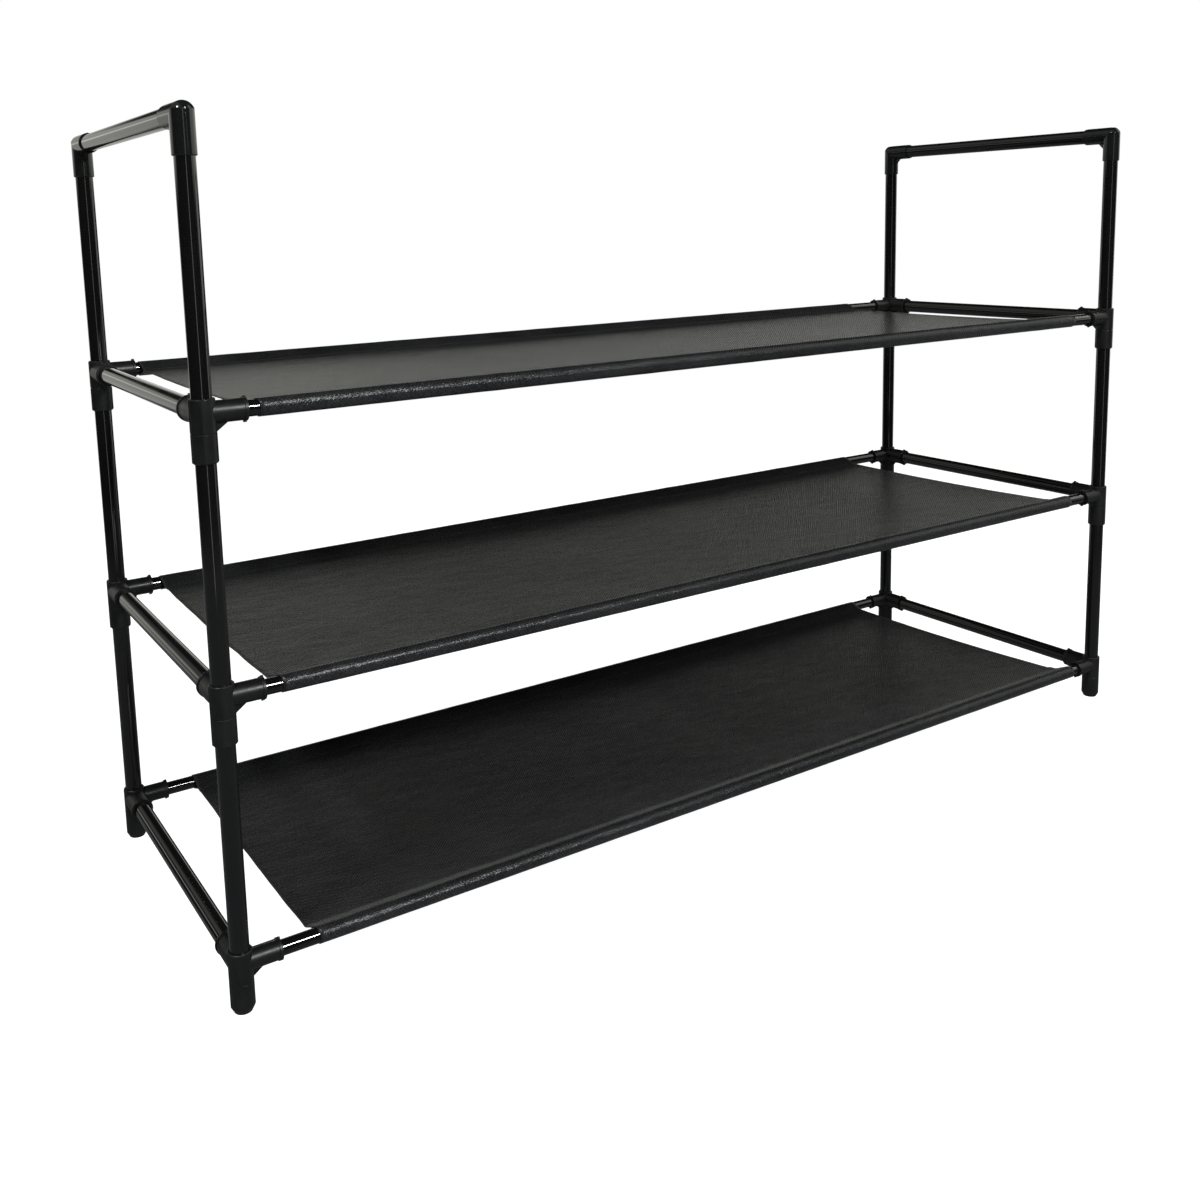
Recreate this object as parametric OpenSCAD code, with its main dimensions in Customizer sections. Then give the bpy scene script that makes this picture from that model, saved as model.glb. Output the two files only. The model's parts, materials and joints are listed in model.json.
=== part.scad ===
// Tiered shoe rack: three fabric shelves on a push-fit frame of steel tubes and moulded connectors.
// Millimetres, +Z up. Origin on the floor, midway between the four feet. Front of the rack faces -Y.

/* [Frame] */
// Distance between the left and right post centres
frame_w = 906; // [900:1:1200]
// Distance between the front and rear post centres
frame_d = 280; // [220:1:400]
// Height of the lowest shelf rods above the floor
foot_h = 33.5; // [31:0.5:60]
// Length of every upright tube
upright_len = 160; // [120:1:260]

/* [Tubes] */
// Outer diameter of the uprights, end rods and handle bars
tube_od = 13; // [12:0.5:16]
// Outer diameter of the long rods that carry the fabric
rod_od = 10.6; // [9:0.1:11]
// Wall thickness of every tube
tube_wall = 0.8; // [0.6:0.1:1.2]

/* [Connectors] */
// Wall thickness of the moulded sleeves and sockets
mould_wall = 1.5; // [1.2:0.1:2.5]
// Gap all round between a tube and the plastic that holds it
fit_gap = 0.1; // [0.05:0.05:0.2]
// Distance from a post centre to the open end of a socket
socket_reach = 27; // [25:0.5:28]
// Depth that a tube pushes into a sleeve or socket
grip_depth = 19; // [14:0.5:20]

/* [Shelves] */
// Width of each fabric shelf along the rack
fabric_w = 818; // [500:1:820]
// Thickness of the fabric
fabric_t = 0.8; // [0.4:0.1:1]
// Distance from a long rod's centre to the seam that closes its hem
seam_reach = 14; // [12:0.5:20]
// How far each shelf has slid along its rods, from the lowest shelf up
fabric_slide = [8, -7, -11]; // [-12:1:12]

/* [Hidden] */
$fn = 64;
TIERS = ["bottom", "middle", "top"];
CORNERS = ["front_left", "front_right", "rear_left", "rear_right"];
// Direction from the rack's middle to each corner post, as signs along X and Y
CORNER_SIGN = [[-1, -1], [1, -1], [-1, 1], [1, 1]];

sleeve_r = tube_od / 2 + fit_gap + mould_wall;
rod_socket_r = rod_od / 2 + fit_gap + mould_wall;
// Raised collar round the open end of a socket, and the pips above and below it
collar_len = 2;
collar_proud = 0.6;
pip_w = 1.4;
pip_proud = 1.4;
// Top shoulder of a connector above its rod centres, and the sleeve's open end below them
shoulder_up = sleeve_r + 1;
sleeve_down = 31;
// Shallow ring groove where the sleeve meets the socket block
groove_w = 0.8;
groove_depth = 0.3;
// Chamfers at the sleeve's open end and at the foot's tip
sleeve_chamfer = 0.8;
foot_chamfer_w = 2;
foot_chamfer_h = 4;
// Edge rounding of the shoulder, made as a small chamfer
shoulder_chamfer = 0.5;
// Spigot that the next upright slips over
spigot_r = tube_od / 2 - tube_wall - fit_gap;
spigot_len = 16;
// Bracing web in the corner between a socket and the post sleeve
web_t = 2.4;
web_reach = 15;
web_drop = 12;
thick_web_reach = 13;
thick_web_drop = 13;
// Fine ridge left by the mould's parting line
ridge_w = 0.5;
ridge_proud = 0.2;
// Elbow sleeve below the handle bar's centre, and how deep the upright goes into it
elbow_down = 24.5;
elbow_grip = 15.5;
// Elbows are moulded thinner than the other connectors, and a ball rounds off their outer corner
elbow_wall = 1;
elbow_chamfer = 0.5;
elbow_r = tube_od / 2 + fit_gap + elbow_wall;
elbow_ball_r = 1.06 * elbow_r;
// Overlap that joins shapes inside one piece
join = 0.5;

// Rod centre heights of the three tiers, and of the handle bars
tier_step = shoulder_up + upright_len + sleeve_down - grip_depth;
function tier_z(tier) = foot_h + tier * tier_step;
handle_z = tier_z(2) + shoulder_up + upright_len + elbow_down - elbow_grip;
end_rod_len = frame_d - 2 * (socket_reach - grip_depth);
long_rod_len = frame_w - 2 * (socket_reach - grip_depth);
// Hem round a long rod, with a little room inside: its flat sides leave the rod at this slope to the seam
hem_room = 0.2;
hem_inner_r = rod_od / 2 + hem_room;
hem_outer_r = hem_inner_r + fabric_t;
hem_slope = asin(hem_inner_r / seam_reach);
arc_steps = 40;

// Places a corner piece, which is drawn for the front left corner with its sockets along +X and +Y
module at_corner(corner, z) {
    sign = CORNER_SIGN[corner];
    translate([sign[0] * frame_w / 2, sign[1] * frame_d / 2, z])
        mirror([sign[0] > 0 ? 1 : 0, 0, 0])
            mirror([0, sign[1] > 0 ? 1 : 0, 0])
                children();
}

// Turns a shape that points along +Z so that it points along +X
module along_x() {
    rotate([0, 90, 0]) children();
}

// Turns a shape that points along +Z so that it points along +Y
module along_y() {
    rotate([-90, 0, 0]) children();
}

// Straight hollow tube along +Z
module tube(outer_d, length) {
    difference() {
        cylinder(d = outer_d, h = length);
        translate([0, 0, -join]) cylinder(d = outer_d - 2 * tube_wall, h = length + 2 * join);
    }
}

// Solid outside of a socket that points along +Z from the post's centre
module socket_outside(radius) {
    cylinder(r = radius, h = socket_reach);
    translate([-ridge_w / 2, -radius - ridge_proud, 0])
        cube([ridge_w, 2 * (radius + ridge_proud), socket_reach - join]);
}

// Collar round a socket's open end, with the two pips where the mould's parting line crosses it
module socket_collar(radius) {
    translate([0, 0, socket_reach - collar_len]) {
        cylinder(r = radius + collar_proud, h = collar_len);
        translate([-pip_w / 2, -radius - pip_proud, 0]) cube([pip_w, 2 * (radius + pip_proud), collar_len]);
    }
}

// Bore of a socket that points along +Z
module socket_bore(tube_d) {
    translate([0, 0, socket_reach - grip_depth]) cylinder(d = tube_d + 2 * fit_gap, h = grip_depth + join);
}

// Web in the XZ plane that braces a socket along +X, from under it down the side of the post's sleeve
module brace_web(socket_r, post_r, reach, drop) {
    translate([0, web_t / 2, 0])
        rotate([90, 0, 0])
            linear_extrude(web_t)
                polygon([[0, 0], [reach, 0], [reach, -socket_r], [post_r, -drop], [0, -drop]]);
}

// Both sockets of a corner piece with their webs, solid
module corner_sockets() {
    along_x() rotate([0, 0, 90]) {
        socket_outside(rod_socket_r);
        socket_collar(rod_socket_r);
    }
    along_y() {
        socket_outside(sleeve_r);
        socket_collar(sleeve_r);
    }
    brace_web(rod_socket_r, sleeve_r, web_reach, web_drop);
    rotate([0, 0, 90]) brace_web(sleeve_r, sleeve_r, thick_web_reach, thick_web_drop);
}

// Round post body from z_low up to the shoulder, with the parting ridge and the ring groove
module post_body(z_low) {
    difference() {
        union() {
            translate([0, 0, z_low]) cylinder(r = sleeve_r, h = shoulder_up - shoulder_chamfer - z_low);
            translate([0, 0, shoulder_up - shoulder_chamfer])
                cylinder(r1 = sleeve_r, r2 = sleeve_r - shoulder_chamfer, h = shoulder_chamfer);
            translate([-sleeve_r - ridge_proud, -ridge_w / 2, z_low])
                cube([2 * (sleeve_r + ridge_proud), ridge_w, shoulder_up - shoulder_chamfer - z_low]);
        }
        translate([0, 0, -web_drop - groove_w]) ring_groove();
    }
    translate([0, 0, shoulder_up - join]) cylinder(r = spigot_r, h = spigot_len + join - shoulder_chamfer);
    translate([0, 0, shoulder_up + spigot_len - shoulder_chamfer])
        cylinder(r1 = spigot_r, r2 = spigot_r - shoulder_chamfer, h = shoulder_chamfer);
}

module ring_groove() {
    difference() {
        cylinder(r = sleeve_r + 2 * ridge_proud, h = groove_w);
        cylinder(r = sleeve_r - groove_depth, h = groove_w);
    }
}

// Corner connector of the lowest tier, which also stands on the floor
module foot_connector(corner) {
    color("#1c1d1f")
        at_corner(corner, foot_h)
            difference() {
                union() {
                    post_body(foot_chamfer_h - foot_h);
                    translate([0, 0, -foot_h])
                        cylinder(r1 = sleeve_r - foot_chamfer_w, r2 = sleeve_r, h = foot_chamfer_h);
                    corner_sockets();
                }
                along_x() socket_bore(rod_od);
                along_y() socket_bore(tube_od);
            }
}

// Corner connector of the middle or the top tier, with a sleeve for the upright below it
module tier_connector(corner, tier) {
    color("#1c1d1f")
        at_corner(corner, tier_z(tier))
            difference() {
                union() {
                    post_body(sleeve_chamfer - sleeve_down);
                    translate([0, 0, -sleeve_down])
                        cylinder(r1 = sleeve_r - sleeve_chamfer, r2 = sleeve_r, h = sleeve_chamfer);
                    corner_sockets();
                }
                along_x() socket_bore(rod_od);
                along_y() socket_bore(tube_od);
                translate([0, 0, -sleeve_down - join])
                    cylinder(d = tube_od + 2 * fit_gap, h = grip_depth + join);
            }
}

// Outer corner of an elbow: where the outsides of its two legs cross, rounded off
module elbow_corner() {
    intersection() {
        sphere(r = elbow_ball_r);
        cylinder(r = elbow_r, h = 2 * elbow_ball_r, center = true);
        along_y() cylinder(r = elbow_r, h = 2 * elbow_ball_r, center = true);
    }
}

// Elbow that turns an upright into a handle bar
module handle_elbow(corner) {
    color("#1c1d1f")
        at_corner(corner, handle_z)
            difference() {
                union() {
                    elbow_corner();
                    translate([0, 0, elbow_chamfer - elbow_down])
                        cylinder(r = elbow_r, h = elbow_down - elbow_chamfer);
                    translate([0, 0, -elbow_down])
                        cylinder(r1 = elbow_r - elbow_chamfer, r2 = elbow_r, h = elbow_chamfer);
                    along_y() socket_outside(elbow_r);
                    translate([-ridge_w / 2, -elbow_r - ridge_proud, elbow_chamfer - elbow_down])
                        cube([ridge_w, 2 * (elbow_r + ridge_proud), elbow_down - elbow_chamfer]);
                    rotate([0, 0, 90]) brace_web(elbow_r, elbow_r, thick_web_reach, thick_web_drop);
                }
                along_y() socket_bore(tube_od);
                translate([0, 0, -elbow_down - join])
                    cylinder(d = tube_od + 2 * fit_gap, h = elbow_grip + join);
            }
}

// Upright tube that stands on the shoulder of the given tier's connector
module upright(corner, tier) {
    color("#0e0e10")
        at_corner(corner, tier_z(tier) + shoulder_up)
            tube(tube_od, upright_len);
}

// Long rod of a tier, side is -1 for the front and 1 for the rear
module long_rod(tier, side) {
    color("#0e0e10")
        translate([-long_rod_len / 2, side * frame_d / 2, tier_z(tier)])
            along_x() tube(rod_od, long_rod_len);
}

// End rod at the given height, side is -1 for the left and 1 for the right
module end_rod(z, side) {
    color("#0e0e10")
        translate([side * frame_w / 2, -end_rod_len / 2, z])
            along_y() tube(tube_od, end_rod_len);
}

// Teardrop that lies round a rod: an arc, then two flat sides that meet at the seam, towards +X
module hem_outline(radius) {
    polygon([
        for (i = [0 : arc_steps])
            let (angle = 90 - hem_slope + i * (180 + 2 * hem_slope) / arc_steps)
                radius * [cos(angle), sin(angle)],
        [radius / sin(hem_slope), 0]
    ]);
}

// Places a hem's outline round the front rod, side -1, or the rear rod, side 1
module at_hem(side) {
    translate([side * frame_d / 2, 0]) rotate(side > 0 ? 180 : 0) children();
}

// Fabric shelf: a taut sheet level with the rod centres, with a hem sewn round the front and rear rods
module shelf_fabric(tier) {
    color("#37393b")
        translate([fabric_slide[tier] - fabric_w / 2, 0, tier_z(tier)])
            rotate([90, 0, 90])
                linear_extrude(fabric_w)
                    difference() {
                        union() {
                            for (side = [-1, 1]) at_hem(side) hem_outline(hem_outer_r);
                            square([frame_d - 2 * (seam_reach + join), fabric_t], center = true);
                        }
                        for (side = [-1, 1]) at_hem(side) hem_outline(hem_inner_r);
                    }
}

for (c = [0 : 3]) {
    foot_connector(c);
    tier_connector(c, 1);
    tier_connector(c, 2);
    handle_elbow(c);
    upright(c, 0);
    upright(c, 1);
    upright(c, 2);
}
for (t = [0 : 2]) {
    long_rod(t, -1);
    long_rod(t, 1);
    end_rod(tier_z(t), -1);
    end_rod(tier_z(t), 1);
    shelf_fabric(t);
}
end_rod(handle_z, -1);  // handle_bar_left
end_rod(handle_z, 1);  // handle_bar_right
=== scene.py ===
import json
import math

import bpy
from mathutils import Matrix, Vector, noise


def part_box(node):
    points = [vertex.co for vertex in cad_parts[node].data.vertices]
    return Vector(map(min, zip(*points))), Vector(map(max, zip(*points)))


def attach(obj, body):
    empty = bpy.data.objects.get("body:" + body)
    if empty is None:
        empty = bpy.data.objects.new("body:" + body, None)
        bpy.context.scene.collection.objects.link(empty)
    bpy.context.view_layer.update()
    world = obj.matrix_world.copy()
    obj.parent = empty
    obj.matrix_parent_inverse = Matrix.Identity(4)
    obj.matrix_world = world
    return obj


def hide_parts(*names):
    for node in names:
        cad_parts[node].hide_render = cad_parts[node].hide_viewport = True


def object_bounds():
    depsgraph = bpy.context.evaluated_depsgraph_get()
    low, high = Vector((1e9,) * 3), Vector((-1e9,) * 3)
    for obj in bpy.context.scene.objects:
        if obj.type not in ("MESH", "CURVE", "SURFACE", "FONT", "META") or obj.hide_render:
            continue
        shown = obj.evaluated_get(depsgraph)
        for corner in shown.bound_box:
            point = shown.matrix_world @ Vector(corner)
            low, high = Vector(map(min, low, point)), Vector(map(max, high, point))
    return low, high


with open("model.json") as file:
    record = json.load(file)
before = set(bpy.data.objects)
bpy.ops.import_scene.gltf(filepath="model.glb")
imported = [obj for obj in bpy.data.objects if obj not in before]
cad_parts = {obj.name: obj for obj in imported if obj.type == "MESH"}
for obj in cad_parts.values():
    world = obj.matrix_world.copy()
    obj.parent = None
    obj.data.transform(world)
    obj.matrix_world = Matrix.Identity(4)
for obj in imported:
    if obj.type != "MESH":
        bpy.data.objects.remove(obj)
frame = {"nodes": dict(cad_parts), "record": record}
cad_low, cad_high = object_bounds()

# Metres everywhere. +Z is up, the rack stands on z = 0 and its front faces -Y.
MM = 0.001
TIERS = ("bottom", "middle", "top")
BODY = "root"


# ---------------------------------------------------------------- camera

# The camera stands at the front left corner, a little below the handle bars, and looks slightly down
CAMERA_PLACE = Vector((-0.6605, -0.8704, 0.5053))
CAMERA_YAW = math.radians(32.03)
CAMERA_PITCH = math.radians(8.37)
CAMERA_ROLL = math.radians(1.55)
CAMERA_SENSOR_MM = 36.0
CAMERA_LENS_MM = 36.39
CAMERA_SHIFT_X = 0.0417
CAMERA_SHIFT_Y = -0.1667


def make_camera():
    """Adds the camera. Yaw turns it from +Y towards +X, pitch tips it down, and roll turns it on its axis."""
    level = math.cos(CAMERA_PITCH)
    ahead = (math.sin(CAMERA_YAW) * level, math.cos(CAMERA_YAW) * level, -math.sin(CAMERA_PITCH))
    forward = Vector(ahead)
    side = Vector((math.cos(CAMERA_YAW), -math.sin(CAMERA_YAW), 0.0))
    down = forward.cross(side)
    right = math.cos(CAMERA_ROLL) * side + math.sin(CAMERA_ROLL) * down
    up = math.sin(CAMERA_ROLL) * side - math.cos(CAMERA_ROLL) * down
    data = bpy.data.cameras.new("camera")
    data.sensor_width = CAMERA_SENSOR_MM
    data.lens = CAMERA_LENS_MM
    data.shift_x = CAMERA_SHIFT_X
    data.shift_y = CAMERA_SHIFT_Y
    camera = bpy.data.objects.new("camera", data)
    bpy.context.scene.collection.objects.link(camera)
    turn = Matrix((right, up, -forward)).transposed().to_4x4()
    camera.matrix_world = Matrix.Translation(CAMERA_PLACE) @ turn
    bpy.context.scene.camera = camera


# ---------------------------------------------------------------- node helpers


def new_material(name):
    """An empty node material, its tree and its Principled shader."""
    material = bpy.data.materials.new(name)
    material.use_nodes = True
    tree = material.node_tree
    return material, tree, tree.nodes["Principled BSDF"]


def add(tree, kind, inputs=None, **settings):
    """Adds a node. An input, by name or number, is linked if it gets a socket and set if it gets a value."""
    node = tree.nodes.new("ShaderNode" + kind)
    for name, value in settings.items():
        setattr(node, name, value)
    for key, value in (inputs or {}).items():
        if isinstance(value, bpy.types.NodeSocket):
            tree.links.new(value, node.inputs[key])
        else:
            node.inputs[key].default_value = value
    return node


def stretched(tree, place, scale, turn=(0.0, 0.0, 0.0)):
    """The place, scaled along each axis and turned, for textures that run one way."""
    inputs = {"Vector": place, "Scale": scale, "Rotation": turn}
    return add(tree, "Mapping", inputs).outputs["Vector"]


def grain(tree, place, size, detail=3.0, roughness=0.55):
    """Noise from 0 to 1 whose blotches are about size metres across."""
    inputs = {"Vector": place, "Scale": 1.0 / size, "Detail": detail, "Roughness": roughness}
    return add(tree, "TexNoise", inputs, noise_dimensions="3D").outputs["Fac"]


def spread(tree, value, low, high, to_low=0.0, to_high=1.0):
    """Maps value from low..high to to_low..to_high, cut off at both ends."""
    inputs = {"Value": value, "From Min": low, "From Max": high, "To Min": to_low, "To Max": to_high}
    return add(tree, "MapRange", inputs, clamp=True).outputs["Result"]


def calculate(tree, operation, first, second=0.0):
    """One step of arithmetic on two sockets or numbers."""
    return add(tree, "Math", {0: first, 1: second}, operation=operation).outputs[0]


def blend_colours(tree, share, first, second):
    """The first colour where share is 0 and the second where it is 1."""
    node = add(tree, "Mix", {"Factor": share}, data_type="RGBA")
    for socket, colour in ((node.inputs[6], first), (node.inputs[7], second)):
        if isinstance(colour, bpy.types.NodeSocket):
            tree.links.new(colour, socket)
        else:
            socket.default_value = (*colour, 1.0)
    return node.outputs[2]


def bumped(tree, height, distance, normal=None):
    """A normal raised by height, where a height of 1 stands distance metres proud."""
    inputs = {"Height": height, "Distance": distance, "Strength": 1.0}
    if normal is not None:
        inputs["Normal"] = normal
    return add(tree, "Bump", inputs).outputs["Normal"]


# ---------------------------------------------------------------- materials

# Colours are linear red, green and blue. Sizes are how wide a texture's blotches are. Levels are the two
# noise values between which an effect builds up from nothing to full. Depths are heights of relief.
MIDDLE_LEVELS = (0.30, 0.70)

TUBE_BLACK = (0.0030, 0.0030, 0.0032)
TUBE_DUSTY = (0.012, 0.012, 0.011)
TUBE_ROUGHNESS = (0.06, 0.14)
TUBE_COAT = 0.4
TUBE_COAT_ROUGHNESS = 0.04
# Fine draw lines run along a tube: the share of their detail that is left along that axis
DRAW_STRETCH = 0.012
DRAW_SIZE = 0.9 * MM
DRAW_LEVELS = (0.45, 0.75)
DRAW_ROUGHNESS = 0.04
DRAW_DEPTH = 0.001 * MM
PEEL_SIZE = 2.2 * MM
PEEL_DEPTH = 0.003 * MM
SMUDGE_SIZE = 34 * MM
SMUDGE_GLOSS_LEVELS = (0.35, 0.70)
SMUDGE_DUST_LEVELS = (0.45, 0.70)
DUST_SIZE = 0.55 * MM
DUST_LEVELS = (0.66, 0.78)
DUST_SHARE = (0.1, 0.6)

PLASTIC_BLACK = (0.0036, 0.0040, 0.0043)
PLASTIC_WORN = (0.030, 0.030, 0.029)
PLASTIC_EDGE_RADIUS = 0.35 * MM
SATIN_POLISH = (0.30, 0.40)
SATIN_SPECULAR = 0.30
GLOSSY_POLISH = (0.07, 0.12)
GLOSSY_SPECULAR = 0.50
SKIN_SIZE = 0.42 * MM
SKIN_ROUGHNESS = 0.05
SKIN_DEPTH = 0.006 * MM
FLOW_SIZE = 9 * MM
FLOW_STRETCH = (1.0, 1.0, 0.35)
FLOW_SHARE = 0.12
SCUFF_SIZE = 1.6 * MM
SCUFF_LEVELS = (0.42, 0.62)
SCUFF_SHARE = 0.5
# Cosines between a face and its softened edge, where the wear starts and where it is full
EDGE_COSINES = (0.985, 0.90)

FABRIC_DARK = (0.0044, 0.0048, 0.0053)
FABRIC_LIGHT = (0.0222, 0.0228, 0.0238)
FABRIC_GLOSS_TINT = (0.97, 0.985, 1.0, 1.0)
FABRIC_ROUGHNESS = (0.24, 0.34)
FABRIC_SHEEN = 0.02
FABRIC_SHEEN_ROUGHNESS = 0.3
FABRIC_SPECULAR = 0.28
FABRIC_DEPTH = 0.06 * MM
# The pressed dots: pitch, how far they stray from their grid, and their rim, both as shares of the pitch
FABRIC_DOT_PITCH = 1.9 * MM
DOT_STRAY = 0.12
DOT_RIM = (0.36, 0.22)
DOT_DARKER = 0.22
DOT_SMOOTHER = 0.07
FIBRE_SIZE = 0.35 * MM
FIBRE_STRETCH = 0.16
FIBRE_TURN_ONE_WAY = (0.0, 0.0, 0.5)
FIBRE_TURN_OTHER_WAY = (0.0, 0.0, 0.4)
FIBRE_TONE_LEVELS = (0.45, 0.75)
FIBRE_TONE = (0.0, 0.45)
FIBRE_GLOSS_LEVELS = (0.35, 0.75)
FIBRE_HEIGHT = 0.5
MOTTLE_SIZE = 2.4 * MM
MOTTLE_LEVELS = (0.35, 0.70)
MOTTLE_TONE = (-0.2, 0.3)
MOTTLE_DEPTH = 0.34 * MM
CLOUD_SIZE = 16 * MM
CLOUD_STRETCH = (0.55, 1.0, 1.0)
CLOUD_TONE = (0.0, 0.35)
CLOUD_DEPTH = 1.1 * MM
FADE_SIZE = 150 * MM
FADE_LEVELS = (0.35, 0.65)
FADE_TONE = (-0.05, 0.2)

THREAD_DARK = (0.004, 0.004, 0.0045)
THREAD_LIGHT = (0.022, 0.022, 0.023)
THREAD_ROUGHNESS = (0.38, 0.55)
THREAD_PLY_SCALE = 900.0
THREAD_PLY_TURN = (0.0, 0.0, 0.6)
THREAD_PLY_SHARE = 0.7
THREAD_FUZZ_SHARE = 0.3
THREAD_FUZZ_SIZE = 0.15 * MM
THREAD_DEPTH = 0.05 * MM

FLOOR_PALE = (0.42, 0.42, 0.417)
FLOOR_PALER = (0.46, 0.46, 0.458)
FLOOR_MOTTLE_SIZE = 400 * MM
FLOOR_ROUGHNESS = 0.9
FLOOR_SPECULAR = 0.2


def tube_material(axis):
    """Gloss black coating on drawn steel tube that runs along axis 0, 1 or 2."""
    material, tree, shader = new_material("black_tube_" + "xyz"[axis])
    place = add(tree, "TexCoord").outputs["Object"]
    along = [1.0, 1.0, 1.0]
    along[axis] = DRAW_STRETCH
    lines = grain(tree, stretched(tree, place, along), DRAW_SIZE, detail=4.0, roughness=0.7)
    peel = grain(tree, place, PEEL_SIZE, detail=2.0)
    smudge = grain(tree, place, SMUDGE_SIZE, detail=5.0, roughness=0.65)
    dust = spread(tree, grain(tree, place, DUST_SIZE, detail=1.0), *DUST_LEVELS)

    where_dusty = spread(tree, smudge, *SMUDGE_DUST_LEVELS, *DUST_SHARE)
    dusty = calculate(tree, "MULTIPLY", dust, where_dusty)
    colour = blend_colours(tree, dusty, TUBE_BLACK, TUBE_DUSTY)
    tree.links.new(colour, shader.inputs["Base Color"])

    worn = calculate(tree, "MULTIPLY", spread(tree, lines, *DRAW_LEVELS), DRAW_ROUGHNESS)
    smudged = spread(tree, smudge, *SMUDGE_GLOSS_LEVELS, *TUBE_ROUGHNESS)
    tree.links.new(calculate(tree, "ADD", smudged, worn), shader.inputs["Roughness"])

    ripple = bumped(tree, peel, PEEL_DEPTH)
    tree.links.new(bumped(tree, lines, DRAW_DEPTH, normal=ripple), shader.inputs["Normal"])
    shader.inputs["Coat Weight"].default_value = TUBE_COAT
    shader.inputs["Coat Roughness"].default_value = TUBE_COAT_ROUGHNESS
    return material


def plastic_material(name, polish, specular):
    """Black moulded plastic: a fine grain, faint flow marks, and softened edges that are scuffed paler.
    Its roughness runs between the two values of polish."""
    material, tree, shader = new_material(name)
    place = add(tree, "TexCoord").outputs["Object"]
    skin = grain(tree, place, SKIN_SIZE, detail=2.0)
    flow = grain(tree, stretched(tree, place, FLOW_STRETCH), FLOW_SIZE, detail=4.0, roughness=0.6)
    scuff = grain(tree, place, SCUFF_SIZE, detail=4.0, roughness=0.7)

    soft_edge = add(tree, "Bevel", {"Radius": PLASTIC_EDGE_RADIUS}, samples=4).outputs["Normal"]
    flat = add(tree, "NewGeometry").outputs["True Normal"]
    bend = add(tree, "VectorMath", {0: soft_edge, 1: flat}, operation="DOT_PRODUCT").outputs["Value"]
    edge = spread(tree, bend, *EDGE_COSINES)
    wear = calculate(tree, "MULTIPLY", edge, spread(tree, scuff, *SCUFF_LEVELS))

    flow_share = spread(tree, flow, *MIDDLE_LEVELS, 0.0, FLOW_SHARE)
    patch = blend_colours(tree, flow_share, PLASTIC_BLACK, PLASTIC_WORN)
    wear_share = calculate(tree, "MULTIPLY", wear, SCUFF_SHARE)
    colour = blend_colours(tree, wear_share, patch, PLASTIC_WORN)
    tree.links.new(colour, shader.inputs["Base Color"])

    flow_rough = spread(tree, flow, *MIDDLE_LEVELS, *polish)
    skin_rough = spread(tree, skin, *MIDDLE_LEVELS, 0.0, SKIN_ROUGHNESS)
    tree.links.new(calculate(tree, "ADD", flow_rough, skin_rough), shader.inputs["Roughness"])

    tree.links.new(bumped(tree, skin, SKIN_DEPTH, normal=soft_edge), shader.inputs["Normal"])
    shader.inputs["Specular IOR Level"].default_value = specular
    return material


def fabric_material():
    """Charcoal non-woven fabric: tangled fibres pressed with a staggered grid of dots, with a soft sheen."""
    material, tree, shader = new_material("shelf_fabric")
    flat = add(tree, "Attribute", attribute_name="flat_place").outputs["Vector"]
    lattice = stretched(tree, flat, (1.0, 1.0, 1.0), (0.0, 0.0, math.radians(45)))
    cells = {"Vector": lattice, "Scale": 1.0 / FABRIC_DOT_PITCH, "Randomness": DOT_STRAY}
    from_dot = add(tree, "TexVoronoi", cells, voronoi_dimensions="2D").outputs["Distance"]
    dot = spread(tree, from_dot, *DOT_RIM)
    one_way = stretched(tree, flat, (FIBRE_STRETCH, 1.0, 1.0), FIBRE_TURN_ONE_WAY)
    other_way = stretched(tree, flat, (1.0, FIBRE_STRETCH, 1.0), FIBRE_TURN_OTHER_WAY)
    fibres_one_way = grain(tree, one_way, FIBRE_SIZE, detail=3.0)
    fibres_other_way = grain(tree, other_way, FIBRE_SIZE, detail=3.0)
    fibres = calculate(tree, "MAXIMUM", fibres_one_way, fibres_other_way)
    mottle = grain(tree, flat, MOTTLE_SIZE, detail=3.0, roughness=0.6)
    cloud = grain(tree, stretched(tree, flat, CLOUD_STRETCH), CLOUD_SIZE, detail=5.0, roughness=0.6)
    fade = grain(tree, flat, FADE_SIZE, detail=3.0)

    fibre_tone = spread(tree, fibres, *FIBRE_TONE_LEVELS, *FIBRE_TONE)
    tone = calculate(tree, "ADD", fibre_tone, spread(tree, cloud, *MIDDLE_LEVELS, *CLOUD_TONE))
    tone = calculate(tree, "ADD", tone, spread(tree, fade, *FADE_LEVELS, *FADE_TONE))
    tone = calculate(tree, "ADD", tone, spread(tree, mottle, *MOTTLE_LEVELS, *MOTTLE_TONE))
    tone = calculate(tree, "SUBTRACT", tone, calculate(tree, "MULTIPLY", dot, DOT_DARKER))
    colour = blend_colours(tree, spread(tree, tone, 0.0, 1.0), FABRIC_DARK, FABRIC_LIGHT)
    tree.links.new(colour, shader.inputs["Base Color"])

    # The pressed dots are fused and shine a little more than the loose fibres between them
    fibre_rough = spread(tree, fibres, *FIBRE_GLOSS_LEVELS, *FABRIC_ROUGHNESS)
    smoother = calculate(tree, "MULTIPLY", dot, DOT_SMOOTHER)
    tree.links.new(calculate(tree, "SUBTRACT", fibre_rough, smoother), shader.inputs["Roughness"])

    height = calculate(tree, "SUBTRACT", calculate(tree, "MULTIPLY", fibres, FIBRE_HEIGHT), dot)
    clouds = bumped(tree, cloud, CLOUD_DEPTH)
    mottled = bumped(tree, mottle, MOTTLE_DEPTH, normal=clouds)
    tree.links.new(bumped(tree, height, FABRIC_DEPTH, normal=mottled), shader.inputs["Normal"])
    shader.inputs["Sheen Weight"].default_value = FABRIC_SHEEN
    shader.inputs["Sheen Roughness"].default_value = FABRIC_SHEEN_ROUGHNESS
    shader.inputs["Specular IOR Level"].default_value = FABRIC_SPECULAR
    shader.inputs["Specular Tint"].default_value = FABRIC_GLOSS_TINT
    return material


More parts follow.
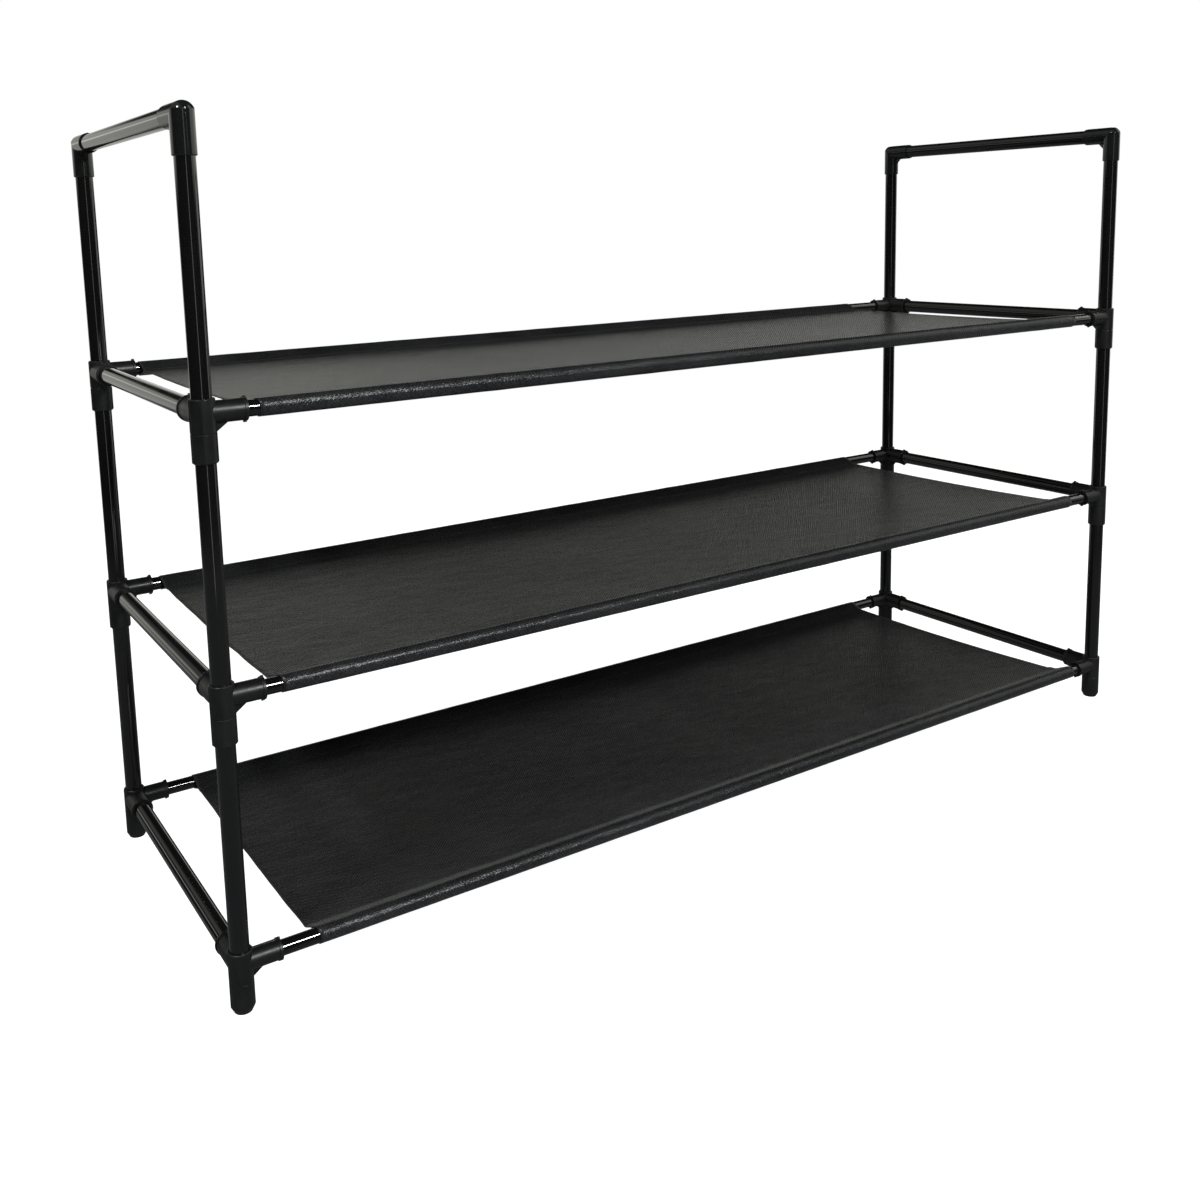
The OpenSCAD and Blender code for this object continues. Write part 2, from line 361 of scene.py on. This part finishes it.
def thread_material():
    """Black twisted sewing thread."""
    material, tree, shader = new_material("sewing_thread")
    place = add(tree, "TexCoord").outputs["Object"]
    turned = stretched(tree, place, (1.0, 1.0, 1.0), THREAD_PLY_TURN)
    ply = add(tree, "TexWave", {"Vector": turned, "Scale": THREAD_PLY_SCALE}).outputs["Fac"]
    fuzz = grain(tree, place, THREAD_FUZZ_SIZE, detail=2.0)
    ply_part = calculate(tree, "MULTIPLY", ply, THREAD_PLY_SHARE)
    twist = calculate(tree, "ADD", ply_part, calculate(tree, "MULTIPLY", fuzz, THREAD_FUZZ_SHARE))
    tree.links.new(blend_colours(tree, twist, THREAD_DARK, THREAD_LIGHT), shader.inputs["Base Color"])
    tree.links.new(spread(tree, fuzz, *MIDDLE_LEVELS, *THREAD_ROUGHNESS), shader.inputs["Roughness"])
    tree.links.new(bumped(tree, twist, THREAD_DEPTH), shader.inputs["Normal"])
    return material


# ---------------------------------------------------------------- carried-over parts


def long_axis(node):
    """0, 1 or 2: the axis that a tube runs along."""
    low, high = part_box(node)
    size = list(high - low)
    return size.index(max(size))


def finish_frame_parts():
    """Gives each tube and connector its material."""
    tube = [tube_material(axis) for axis in range(3)]
    satin = plastic_material("moulded_connector", SATIN_POLISH, SATIN_SPECULAR)
    glossy = plastic_material("moulded_elbow", GLOSSY_POLISH, GLOSSY_SPECULAR)
    for entry in frame["record"]["subparts"]:
        part = frame["nodes"][entry["node"]]
        if entry["material_slot"] == "shelf_fabric":
            continue
        plastic = glossy if "elbow" in entry["node"] else satin
        is_tube = entry["material_slot"] == "black_tube"
        chosen = tube[long_axis(entry["node"])] if is_tube else plastic
        part.data.materials.clear()
        part.data.materials.append(chosen)


# ---------------------------------------------------------------- fabric shelves

FABRIC_T = 0.5 * MM
ROD_TO_FABRIC = 0.1 * MM
SEAM_REACH = 14 * MM
TURNED_IN = 7 * MM
LAYER_GAP = 0.1 * MM

# Up, in a shelf's cross-section
UP = Vector((0.0, 1.0))

# Rows across a shelf and columns along it
TURNED_IN_ROWS = 4
FLANK_ROWS = 5
WRAP_ROWS = 22
DECK_ROWS = 54
COLUMNS = 270

# How far the deck hangs in its middle, and the heights and lengths of its ripples
DECK_SAG = 1.6 * MM
PUCKER_HEIGHT = 0.22 * MM
PUCKER_LENGTH = 9 * MM
PUCKER_FADE = 11 * MM
PUCKER_START = 2 * MM
RIPPLE_HEIGHT = 0.55 * MM
RIPPLE_LENGTH = 85 * MM
RIPPLE_DEPTH_SHARE = 0.6
HEM_LOOSE = 0.22 * MM
HEM_LOOSE_LENGTH = 26 * MM
HEM_LOOSE_ROUNDS = 120
CUT_WANDER = 0.5 * MM
CUT_WANDER_WAVES = 40

# How far each shelf's right edge leans in at the rear, how far its left edge stands out past the CAD sheet,
# and how far its front hem is sewn over to the right, which eases in over a share of the hem's length
RIGHT_EDGE_LEAN = {"bottom": 17 * MM, "middle": 18 * MM, "top": 12 * MM}
RIGHT_EDGE_CURVE = 0.7
LEFT_EDGE_OUT = 2.5 * MM
HEM_SKEW = 4 * MM
HEM_SKEW_REACH = 0.4


def rod_line(tier, side):
    """(y, z, radius) of a long rod's centre line."""
    low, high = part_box(f"{tier}_long_rod_{side}")
    return (low.y + high.y) / 2, (low.z + high.z) / 2, (high.z - low.z) / 2


def between(first, last, steps):
    """Points from first up to but not including last."""
    return [first.lerp(last, i / steps) for i in range(steps)]


def hem_path(radius):
    """Middle line of a hem's cross-section, as points (towards the rack's middle, up) from the rod's centre.
    It runs from the turned-in edge under the deck, round the rod and up to the seam."""
    seam_top = Vector((SEAM_REACH, 0.0))
    seam_under = Vector((SEAM_REACH, -FABRIC_T - LAYER_GAP))
    cut_edge = seam_under + Vector((TURNED_IN, 0.0))
    leave_low = math.atan2(seam_under.y, seam_under.x) - math.acos(radius / seam_under.length)
    leave_high = math.atan2(seam_top.y, seam_top.x) + math.acos(radius / seam_top.length) - 2 * math.pi
    wrap = [leave_low + (leave_high - leave_low) * i / WRAP_ROWS for i in range(WRAP_ROWS + 1)]
    on_rod = [Vector((math.cos(angle), math.sin(angle))) * radius for angle in wrap]
    path = between(cut_edge, seam_under, TURNED_IN_ROWS)
    path += between(seam_under, on_rod[0], FLANK_ROWS)
    path += on_rod[:-1]
    path += between(on_rod[-1], seam_top, FLANK_ROWS)
    return path


def shelf_path(tier):
    """Middle line of a shelf's cross-section: (y, z) points from the front turned-in edge to the rear one."""
    front_y, front_z, rod_r = rod_line(tier, "front")
    rear_y, rear_z, _ = rod_line(tier, "rear")
    hem = hem_path(rod_r + ROD_TO_FABRIC + FABRIC_T / 2)
    front = [Vector((front_y + p.x, front_z + p.y)) for p in hem]
    rear = [Vector((rear_y - p.x, rear_z + p.y)) for p in reversed(hem)]
    front_seam = Vector((front_y + SEAM_REACH, front_z))
    rear_seam = Vector((rear_y - SEAM_REACH, rear_z))
    # The deck's rows lie closer together near the two seams
    shares = [(1 - math.cos(math.pi * i / DECK_ROWS)) / 2 for i in range(DECK_ROWS + 1)]
    shares = [0.5 * share + 0.5 * i / DECK_ROWS for i, share in enumerate(shares)]
    return front + [front_seam.lerp(rear_seam, share) for share in shares] + rear


def outward(path, i):
    """Unit normal of the path at point i, away from the rods and up from the deck."""
    ahead = path[min(i + 1, len(path) - 1)] - path[max(i - 1, 0)]
    return Vector((-ahead.y, ahead.x)).normalized()


def ease(value):
    """Smooth step from 0 to 1."""
    value = min(max(value, 0.0), 1.0)
    return value * value * (3 - 2 * value)


def hem_slack(tier_seed, x, y):
    """How far the loose hem stands off its rod."""
    slack = noise.noise(Vector((x / HEM_LOOSE_LENGTH, y * HEM_LOOSE_ROUNDS, tier_seed + 21.0)))
    return HEM_LOOSE * max(slack, 0.0)


def rise(tier_seed, x, y, seam_ys):
    """How far the fabric rises at a place: puckers at the seams, and sag and ripples between them.
    The deck and the turned-in edge under it rise together, so that they stay clear of each other."""
    front_seam, rear_seam = seam_ys
    share = (y - front_seam) / (rear_seam - front_seam)
    to_seam = min(abs(y - front_seam), abs(y - rear_seam))
    pucker = noise.noise(Vector((x / PUCKER_LENGTH, tier_seed, 4.0)))
    height = PUCKER_HEIGHT * pucker * math.exp(-to_seam / PUCKER_FADE) * ease(to_seam / PUCKER_START)
    bow = max(4 * share * (1 - share), 0.0)
    ripple = noise.noise(Vector((x / RIPPLE_LENGTH, y / RIPPLE_LENGTH * RIPPLE_DEPTH_SHARE, tier_seed + 9.0)))
    return height + bow * (RIPPLE_HEIGHT * ripple - DECK_SAG)


def shelf_edges(tier, y, front_y, rear_y, skew):
    """(left, right) x of the cut edges at depth y."""
    low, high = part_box(f"{tier}_shelf_fabric")
    share = min(max((y - front_y) / (rear_y - front_y), 0.0), 1.0)
    lean = RIGHT_EDGE_LEAN[tier] * share**RIGHT_EDGE_CURVE
    wander = CUT_WANDER * noise.noise(Vector((y * CUT_WANDER_WAVES, TIERS.index(tier) * 5.0, 2.0)))
    return low.x - LEFT_EDGE_OUT + skew + wander, high.x - lean - HEM_SKEW + skew - wander


def make_shelf(tier, material):
    """The fabric shelf of one tier: one sheet with a sewn hem round each long rod."""
    path = shelf_path(tier)
    front_y, _, _ = rod_line(tier, "front")
    rear_y, _, _ = rod_line(tier, "rear")
    seam_ys = (front_y + SEAM_REACH, rear_y - SEAM_REACH)
    hem_rows = TURNED_IN_ROWS + 2 * FLANK_ROWS + WRAP_ROWS
    seed = 10.0 * TIERS.index(tier)

    lengths = [0.0]
    for before, after in zip(path, path[1:]):
        lengths.append(lengths[-1] + (after - before).length)
    seam_length = lengths[hem_rows]

    points, flats = [], []
    for i, spot in enumerate(path):
        from_cut = min(i, len(path) - 1 - i)
        wrap_start = TURNED_IN_ROWS + FLANK_ROWS
        wrapped = wrap_start <= from_cut <= wrap_start + WRAP_ROWS
        to_seam = (seam_length - lengths[i]) / (HEM_SKEW_REACH * seam_length)
        sewn_over = HEM_SKEW * ease(to_seam) if i < hem_rows else 0.0
        left, right = shelf_edges(tier, spot.x, front_y, rear_y, sewn_over)
        normal = outward(path, i)
        for j in range(COLUMNS + 1):
            x = left + (right - left) * j / COLUMNS
            if wrapped:
                moved = spot + normal * hem_slack(seed, x, spot.x)
            else:
                moved = spot + UP * rise(seed, x, spot.x, seam_ys)
            points.append((x, moved.x, moved.y))
            flats.append((x, lengths[i], 0.0))

    row = COLUMNS + 1
    faces = [
        (i * row + j, i * row + j + 1, (i + 1) * row + j + 1, (i + 1) * row + j)
        for i in range(len(path) - 1)
        for j in range(COLUMNS)
    ]
    mesh = bpy.data.meshes.new(f"{tier}_shelf_cloth")
    mesh.from_pydata(points, [], faces)
    mesh.polygons.foreach_set("use_smooth", [True] * len(faces))
    flat_place = mesh.attributes.new("flat_place", "FLOAT_VECTOR", "POINT")
    flat_place.data.foreach_set("vector", [value for spot in flats for value in spot])
    mesh.materials.append(material)
    shelf = bpy.data.objects.new(f"{tier}_shelf_cloth", mesh)
    bpy.context.scene.collection.objects.link(shelf)
    thick = shelf.modifiers.new("thickness", "SOLIDIFY")
    thick.thickness = FABRIC_T
    thick.offset = 0.0

    low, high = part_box(f"{tier}_shelf_fabric")
    flat_size = (high.x - low.x + LEFT_EDGE_OUT - HEM_SKEW, lengths[-1])
    return shelf, flat_size


# ---------------------------------------------------------------- stitches

STITCH_PITCH = 3.4 * MM
STITCH_LENGTH = 2.5 * MM
THREAD_R = 0.23 * MM
STITCH_RINGS = 4
STITCH_SIDES = 6
STITCH_END_MARGIN = 4 * MM
STITCH_WANDER = 0.25 * MM
STITCH_TILT = 0.5 * MM
# A stitch is thinnest where it enters the cloth, and its ends are sunk into it, both as shares of THREAD_R
STITCH_END_THICKNESS = 0.45
STITCH_ARCH = 1.5
STITCH_SUNK = 0.9


def stitch_rings(x, y, z, side, tilt):
    """Rings of points round one stitch, which arches out of the cloth at side 1 (top) or -1 (under)."""
    rings = []
    for k in range(STITCH_RINGS + 1):
        share = k / STITCH_RINGS
        arch = math.sin(math.pi * share)
        radius = THREAD_R * (STITCH_END_THICKNESS + (1 - STITCH_END_THICKNESS) * arch**0.5)
        along = x + STITCH_LENGTH * (share - 0.5)
        across = y + tilt * (share - 0.5)
        height = z + side * THREAD_R * (STITCH_ARCH * arch - STITCH_SUNK)
        turns = [2 * math.pi * m / STITCH_SIDES for m in range(STITCH_SIDES)]
        ring = [(along, across + radius * math.cos(a), height + radius * math.sin(a)) for a in turns]
        rings.append(ring)
    return rings


def add_stitch(points, faces, rings):
    """Adds one closed stitch to the lists of points and faces."""
    first = len(points)
    for ring in rings:
        points.extend(ring)
    n = STITCH_SIDES
    for k in range(STITCH_RINGS):
        for m in range(n):
            a, b = first + k * n + m, first + k * n + (m + 1) % n
            faces.append((a, a + n, b + n, b))
    faces.append(tuple(first + m for m in range(n)))
    faces.append(tuple(first + STITCH_RINGS * n + m for m in reversed(range(n))))


def make_stitches(tier, side, material):
    """The row of stitches that closes a hem, on both faces of the shelf."""
    rod_y, rod_z, _ = rod_line(tier, side)
    seam_y = rod_y + (SEAM_REACH if side == "front" else -SEAM_REACH)
    front_y, _, _ = rod_line(tier, "front")
    rear_y, _, _ = rod_line(tier, "rear")
    left, right = shelf_edges(tier, seam_y, front_y, rear_y, 0.0)
    count = int((right - left - 2 * STITCH_END_MARGIN) / STITCH_PITCH)
    top_z = rod_z + FABRIC_T / 2
    under_z = rod_z - LAYER_GAP - 1.5 * FABRIC_T
    points, faces = [], []
    for i in range(count):
        x = left + STITCH_END_MARGIN + (i + 0.5) * STITCH_PITCH
        wander = STITCH_WANDER * noise.noise(Vector((x * 30, rod_z * 10, rod_y * 10)))
        tilt = STITCH_TILT * noise.noise(Vector((i * 3.7, rod_z * 50, rod_y)))
        add_stitch(points, faces, stitch_rings(x, seam_y + wander, top_z, 1, tilt))
        add_stitch(points, faces, stitch_rings(x, seam_y + wander, under_z, -1, tilt))
    mesh = bpy.data.meshes.new(f"{tier}_hem_stitches_{side}")
    mesh.from_pydata(points, [], faces)
    mesh.polygons.foreach_set("use_smooth", [True] * len(faces))
    mesh.materials.append(material)
    stitches = bpy.data.objects.new(f"{tier}_hem_stitches_{side}", mesh)
    bpy.context.scene.collection.objects.link(stitches)
    return stitches


def make_shelves():
    fabric = fabric_material()
    thread = thread_material()
    for tier in TIERS:
        shelf, flat_size = make_shelf(tier, fabric)
        rows = [make_stitches(tier, side, thread) for side in ("front", "rear")]
        for piece in (shelf, *rows):
            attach(piece, BODY)
        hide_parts(f"{tier}_shelf_fabric")


# ---------------------------------------------------------------- stage and light

STAGE_RADIUS = 16.0
STAGE_SIDES = 96
FLOOR_GLOW = 0.97
FLOOR_FADE_START = 0.7
FLOOR_FADE_END = 2.4
BACKDROP_WHITE = (1.0, 1.0, 1.0, 1.0)

# The room that the gloss picks up. Its brightness is set by direction: x, y and z are parts of a unit vector,
# and each pair of values is where a fade starts and where it ends.
WALL_CREAM = (1.0, 1.0, 0.93)
FLOOR_BLUE = (0.92, 0.96, 1.0)
REAR_PANEL = 0.55
RIGHT_PANEL = 1.30
LOW_BAND = 1.10
DARK_SIDE = 0.015
ROOM_FLOOR = 0.13
# A low pale band runs round behind and on the right, with a foot so that it ends above the horizon.
# Taller panels stand on it: one straight behind, one on the right, and a narrow strip far right.
BAND_FOOT = (0.02, 0.07)
BAND_TOP = (0.155, 0.105)
PANEL_TOP = (0.25, 0.21)
WALL_FOOT = (-0.27, -0.23)
REAR_FROM_Y = (0.35, 0.60)
RIGHT_FROM_X = (0.80, 0.83)
REAR_PANEL_TO_X = (0.34, 0.46)
RIGHT_STRIP_FROM_X = (0.955, 0.985)
# A glow high on the front right, and a dim one high over the left side
CORNER_GLOW = 1.5
CORNER_FROM_X = (0.52, 0.76)
CORNER_FROM_Z = (0.28, 0.42)
CORNER_TO_Y = (0.10, -0.10)
LEFT_GLOW = 0.32
LEFT_FROM_X = (-0.05, -0.30)
LEFT_FROM_Z = (0.22, 0.36)

# Name, offset from the rack's middle, width and height, and watts
LIGHTS = (
    ("small_front", (0.44, -2.78, 1.69), (0.40, 0.40), 85.0),
    ("small_left", (-2.23, -1.13, 2.77), (0.40, 0.40), 60.0),
    ("front_strip", (-0.75, -3.1, 0.2), (0.25, 2.2), 3.0),
)


def floor_material():
    """Plain pale floor with a faint mottle. Most of its brightness is its own glow, and it fades to white."""
    material, tree, shader = new_material("pale_floor")
    place = add(tree, "TexCoord").outputs["Object"]
    mottle = grain(tree, place, FLOOR_MOTTLE_SIZE, detail=4.0)
    tree.links.new(blend_colours(tree, mottle, FLOOR_PALE, FLOOR_PALER), shader.inputs["Base Color"])
    shader.inputs["Roughness"].default_value = FLOOR_ROUGHNESS
    shader.inputs["Specular IOR Level"].default_value = FLOOR_SPECULAR
    shader.inputs["Emission Color"].default_value = BACKDROP_WHITE
    shader.inputs["Emission Strength"].default_value = FLOOR_GLOW
    from_middle = add(tree, "VectorMath", {0: place}, operation="LENGTH").outputs["Value"]
    far = spread(tree, from_middle, FLOOR_FADE_START, FLOOR_FADE_END)
    white = add(tree, "Emission", {"Color": BACKDROP_WHITE, "Strength": 1.0})
    faded = add(tree, "MixShader", {0: far, 1: shader.outputs[0], 2: white.outputs[0]})
    tree.links.new(faded.outputs[0], tree.nodes["Material Output"].inputs["Surface"])
    return material


def make_floor():
    """A wide pale floor under the feet. The parts' gloss picks up the room's floor in its place."""
    turns = [2 * math.pi * i / STAGE_SIDES for i in range(STAGE_SIDES)]
    rim = [(STAGE_RADIUS * math.cos(a), STAGE_RADIUS * math.sin(a), cad_low.z) for a in turns]
    mesh = bpy.data.meshes.new("floor")
    mesh.from_pydata(rim, [], [tuple(range(STAGE_SIDES))])
    mesh.materials.append(floor_material())
    floor = bpy.data.objects.new("floor", mesh)
    bpy.context.scene.collection.objects.link(floor)
    floor.visible_glossy = False


def make_backdrop():
    """A white dome that only the camera sees, so that the gloss of the parts doesn't pick it up."""
    bpy.ops.mesh.primitive_uv_sphere_add(segments=64, ring_count=32, radius=STAGE_RADIUS)
    dome = bpy.context.object
    dome.name = "backdrop"
    material, tree, shader = new_material("backdrop_white")
    glow = add(tree, "Emission", {"Color": BACKDROP_WHITE, "Strength": 1.0})
    tree.links.new(glow.outputs[0], tree.nodes["Material Output"].inputs["Surface"])
    tree.nodes.remove(shader)
    dome.data.materials.append(material)
    dome.visible_diffuse = False
    dome.visible_glossy = False
    dome.visible_transmission = False
    dome.visible_volume_scatter = False
    dome.visible_shadow = False


def make_world():
    """A plain room: a pale band and panels behind and on the right, a glow high on the front right, a dim one
    high on the left, dark elsewhere, and a grey floor."""
    world = bpy.data.worlds.new("studio")
    world.use_nodes = True
    tree = world.node_tree
    direction = add(tree, "TexCoord").outputs["Generated"]
    x, y, z = add(tree, "SeparateXYZ", {0: direction}).outputs
    rear = spread(tree, y, *REAR_FROM_Y)
    right = spread(tree, x, *RIGHT_FROM_X)
    over_foot = spread(tree, z, *BAND_FOOT)
    band = calculate(tree, "MULTIPLY", calculate(tree, "MAXIMUM", rear, right), spread(tree, z, *BAND_TOP))
    band = calculate(tree, "MULTIPLY", band, calculate(tree, "MULTIPLY", over_foot, LOW_BAND))
    off_axis = calculate(tree, "ABSOLUTE", x)
    panel_rear = calculate(tree, "MULTIPLY", rear, spread(tree, off_axis, *REAR_PANEL_TO_X, REAR_PANEL, 0.0))
    panel_right = calculate(tree, "MULTIPLY", right, calculate(tree, "MULTIPLY", over_foot, RIGHT_PANEL))
    panels = calculate(tree, "MAXIMUM", panel_rear, panel_right)
    panels = calculate(tree, "MAXIMUM", panels, spread(tree, x, *RIGHT_STRIP_FROM_X))
    panels = calculate(tree, "MULTIPLY", panels, spread(tree, z, *PANEL_TOP))
    corner = calculate(tree, "MULTIPLY", spread(tree, x, *CORNER_FROM_X), spread(tree, z, *CORNER_FROM_Z))
    corner = calculate(tree, "MULTIPLY", corner, spread(tree, y, *CORNER_TO_Y, 0.0, CORNER_GLOW))
    high_left = spread(tree, z, *LEFT_FROM_Z, 0.0, LEFT_GLOW)
    left = calculate(tree, "MULTIPLY", spread(tree, x, *LEFT_FROM_X), high_left)
    walls = calculate(tree, "MAXIMUM", calculate(tree, "MAXIMUM", band, panels), corner)
    walls = calculate(tree, "MAXIMUM", calculate(tree, "MAXIMUM", walls, left), DARK_SIDE)
    over_floor = spread(tree, z, *WALL_FOOT)
    level = add(tree, "Mix", {0: over_floor, 2: ROOM_FLOOR, 3: walls}, data_type="FLOAT").outputs[0]
    tint = blend_colours(tree, over_floor, FLOOR_BLUE, WALL_CREAM)
    background = tree.nodes["Background"]
    tree.links.new(tint, background.inputs["Color"])
    tree.links.new(level, background.inputs["Strength"])
    bpy.context.scene.world = world


def aim(light, place, target):
    """Puts a light at place and turns it to target."""
    light.location = place
    light.rotation_euler = (target - place).to_track_quat("-Z", "Y").to_euler()


def softbox(name, offset, size, power):
    """A rectangular area light that stands at offset from the rack's middle and shines on it."""
    middle = (cad_low + cad_high) / 2
    data = bpy.data.lights.new(name, "AREA")
    data.shape = "RECTANGLE"
    data.size, data.size_y = size
    data.energy = power
    light = bpy.data.objects.new(name, data)
    bpy.context.scene.collection.objects.link(light)
    aim(light, middle + Vector(offset), middle)


def make_lights():
    """Soft studio light: small panels high up in front and on the left, and a tall narrow one in front."""
    for name, offset, size, power in LIGHTS:
        softbox(name, offset, size, power)


make_camera()
finish_frame_parts()
make_shelves()
make_floor()
make_backdrop()
make_world()
make_lights()
bpy.context.scene.view_settings.view_transform = "Standard"
